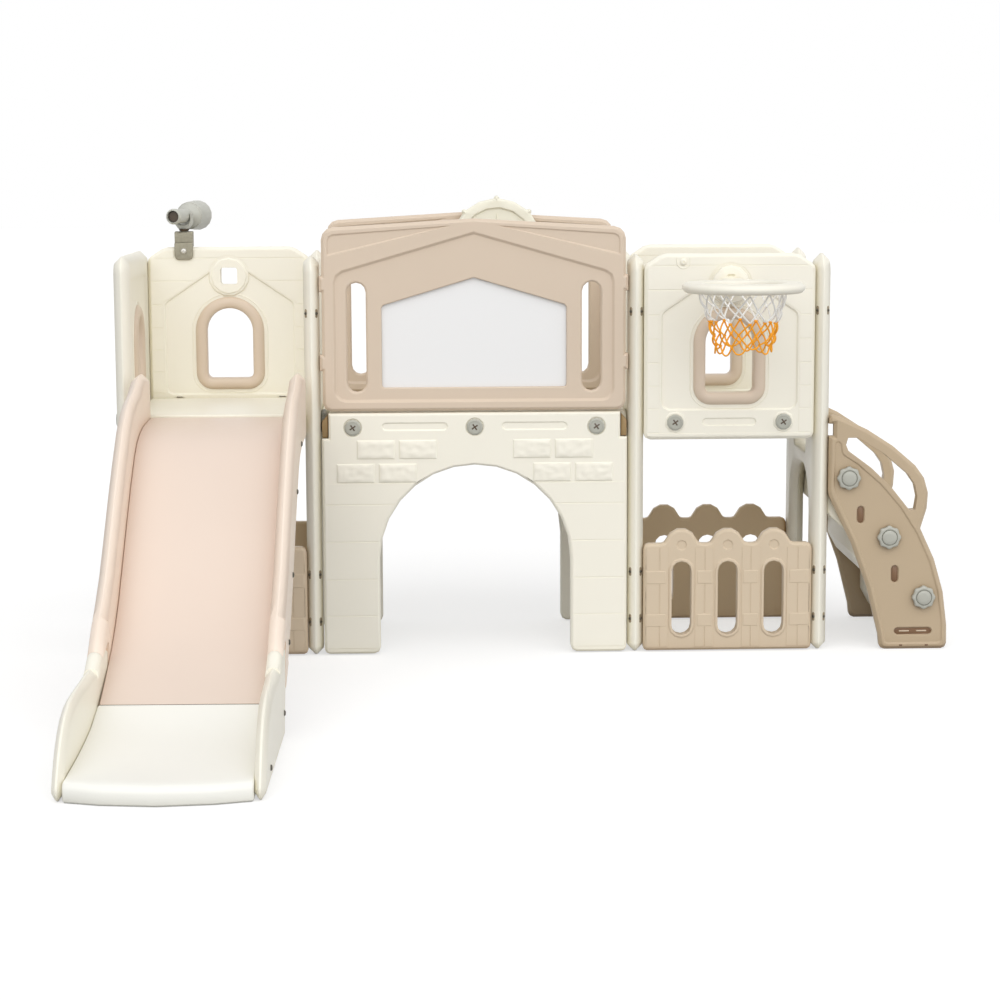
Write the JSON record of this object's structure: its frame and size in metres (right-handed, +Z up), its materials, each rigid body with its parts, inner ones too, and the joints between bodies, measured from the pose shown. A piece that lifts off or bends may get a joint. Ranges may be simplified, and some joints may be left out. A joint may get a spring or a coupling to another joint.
{
  "type": "toddler slide and climber play castle",
  "caption": "Indoor toddler play castle: towers joined by an arched bridge, with a slide, a curved climber, a basketball hoop, a telescope and a steering wheel.",
  "frame": {"origin": "on the floor, at the middle of the whole set's box", "axes": "+X from the slide tower to the climber, +Y away from the slide's low end towards the back walls, +Z up"},
  "size_m": [2.0988, 1.9868, 1.1398],
  "materials": {
    "cream": "satin cream polyethylene",
    "sand": "satin sand-beige polyethylene",
    "tan": "satin tan polyethylene",
    "blush": "satin blush-beige polyethylene",
    "peach": "satin peach-beige polyethylene",
    "grey": "grey moulded fixing",
    "scope": "light grey moulded plastic",
    "plate": "dull metal strip",
    "dark": "dark moulded plastic",
    "pane": "pale semi-gloss sheet",
    "wheel": "satin cream polyethylene",
    "white_cord": "white braided cord",
    "orange_cord": "orange braided cord"
  },
  "bodies": {
    "play_set": {"arch_bolt_left": "grey", "arch_bolt_middle": "grey", "arch_bolt_right": "grey", "back_pane": "pane", "bridge_back_arch": "cream", "bridge_back_panel": "sand", "bridge_deck": "cream", "bridge_front_arch": "cream", "bridge_front_panel": "sand", "climber_back_knob_1": "grey", "climber_back_knob_2": "grey", "climber_back_knob_3": "grey", "climber_back_side": "tan", "climber_front_knob_1": "grey", "climber_front_knob_2": "grey", "climber_front_knob_3": "grey", "climber_front_side": "tan", "climber_step_1": "cream", "climber_step_2": "cream", "climber_step_3": "cream", "front_pane": "pane", "front_wall_bolt_left": "grey", "front_wall_bolt_right": "grey", "hoop_bracket": "cream", "hoop_rim": "cream", "inner_deck_knob": "grey", "left_back_fence": "tan", "left_back_wall": "cream", "left_back_window_ring": "sand", "left_deck": "cream", "left_deck_knob": "grey", "left_front_fence": "tan", "left_inner_frame": "cream", "left_outer_frame": "cream", "left_side_window_ring": "sand", "net_lower": "orange_cord", "net_upper": "white_cord", "right_back_fence": "tan", "right_back_wall": "cream", "right_back_window_ring": "sand", "right_deck": "cream", "right_front_fence": "tan", "right_front_wall": "cream", "right_front_window_ring": "sand", "right_inner_frame": "cream", "right_outer_frame": "cream", "slide_bed": "blush", "slide_exit_bed": "cream", "slide_exit_left_side": "cream", "slide_exit_right_side": "cream", "slide_left_rail": "peach", "slide_right_rail": "peach", "telescope_bracket": "plate", "wheel_axle": "grey"},
    "telescope_turret": {"telescope_swivel": "dark", "telescope_cradle": "scope"},
    "telescope": {"telescope_tube": "scope", "eyepiece_lens": "dark", "objective_lens": "dark"},
    "wheel": {"steering_wheel": "wheel"}
  },
  "joints": [
    {"name": "telescope_swivel_turn", "type": "hinge", "parent": "play_set", "child": "telescope_turret", "pos_m": [-0.89641, 0.8727, 1.05], "axis": [0, 0, 1], "continuous": true},
    {"name": "telescope_tilt", "type": "hinge", "parent": "telescope_turret", "child": "telescope", "pos_m": [-0.89641, 0.8727, 1.09], "axis": [0.9703, -0.2419, 0], "range_deg": [-15, 20]},
    {"name": "wheel_turn", "type": "hinge", "parent": "play_set", "child": "wheel", "pos_m": [-0.07491, 0.8392, 1.013], "axis": [0, -1, 0], "continuous": true}
  ]
}
